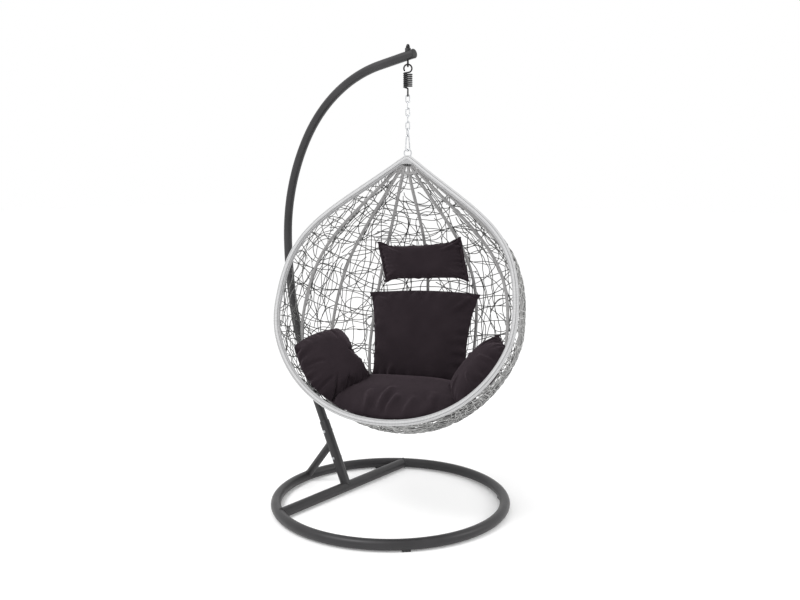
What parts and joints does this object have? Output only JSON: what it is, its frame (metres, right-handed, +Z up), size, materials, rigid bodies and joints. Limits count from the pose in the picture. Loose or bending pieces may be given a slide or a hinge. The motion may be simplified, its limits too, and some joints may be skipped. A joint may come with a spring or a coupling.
{
  "type": "hanging egg chair",
  "caption": "Egg-shaped woven basket seat with loose cushions, hung by a spring and chain from a bent steel pole on a round floor ring.",
  "frame": {"origin": "centre of the footprint of the whole chair, on the floor", "axes": "+Z up; +Y towards the side where the pole rises from the ring; the pole's tip leans over towards -Y; at rest the seat faces mostly -X"},
  "size_m": [1.05, 1.278, 1.9713],
  "materials": {
    "frame": "satin",
    "black_plastic": "matte",
    "black_steel": "satin",
    "zinc": "satin",
    "wicker_frame": "satin",
    "wicker": "satin",
    "cushion": "matte"
  },
  "bodies": {
    "stand": {"base_ring": "frame", "cross_tube": "frame", "socket": "frame", "brace": "frame", "lower_pole": "frame", "upper_pole": "frame", "end_plug": "black_plastic", "top_bush": "black_plastic", "socket_bolt_1": "zinc", "socket_bolt_2": "zinc", "socket_nut_1": "zinc", "socket_nut_2": "zinc", "floor_glide_1": "black_plastic", "floor_glide_2": "black_plastic", "floor_glide_3": "black_plastic", "floor_glide_4": "black_plastic"},
    "hanger": {"eye_bolt": "black_steel", "cap_nut": "black_steel"},
    "spring": {"suspension_spring": "black_steel"},
    "top_link": {"chain_link_1": "zinc"},
    "chain": {"chain_link_2": "zinc", "chain_link_3": "zinc", "chain_link_4": "zinc", "chain_link_5": "zinc", "chain_link_6": "zinc", "snap_hook": "zinc"},
    "gate": {"snap_gate": "zinc"},
    "basket": {"hanger_ring": "zinc", "rim_hoop": "wicker_frame", "crown_band": "wicker_frame", "foot_band": "wicker_frame", "rib_1": "wicker_frame", "rib_2": "wicker_frame", "rib_3": "wicker_frame", "rib_4": "wicker_frame", "rib_5": "wicker_frame", "rib_6": "wicker_frame", "rib_7": "wicker_frame", "woven_panel_1": "wicker", "woven_panel_2": "wicker", "woven_panel_3": "wicker", "woven_panel_4": "wicker", "woven_panel_5": "wicker", "woven_panel_6": "wicker", "woven_panel_7": "wicker", "woven_panel_8": "wicker", "back_cushion": "cushion", "seat_cushion": "cushion", "head_pillow": "cushion", "right_arm_cushion": "cushion", "left_arm_cushion": "cushion"}
  },
  "joints": [
    {"name": "swivel", "type": "hinge", "parent": "stand", "child": "hanger", "pos_m": [0, -0.073, 1.93], "axis": [0, 0, 1], "continuous": true},
    {"name": "swing_fore_aft", "type": "hinge", "parent": "hanger", "child": "spring", "pos_m": [0, -0.073, 1.89055], "axis": [-0.3007, 0.9537, 0], "range_deg": [-10, 10]},
    {"name": "bounce", "type": "slide", "parent": "spring", "child": "top_link", "axis": [0, 0, -1], "range_m": [0, 0.05], "stiffness_N_per_m": 12000, "springref_m": -0.02, "deforming": ["suspension_spring"]},
    {"name": "swing_sideways", "type": "hinge", "parent": "top_link", "child": "chain", "pos_m": [0, -0.073, 1.7428], "axis": [-0.9537, -0.3007, 0], "range_deg": [-6, 6]},
    {"name": "gate_open", "type": "hinge", "parent": "chain", "child": "gate", "pos_m": [0.0096, -0.07621, 1.5518], "axis": [0.3173, 0.9483, 0], "range_deg": [-9, 0], "stiffness_Nm_per_rad": 0.05, "springref_deg": 5.73},
    {"name": "basket_nod", "type": "hinge", "parent": "chain", "child": "basket", "pos_m": [0, -0.073, 1.5491], "axis": [-0.3007, 0.9537, 0], "range_deg": [-8, 8]}
  ]
}
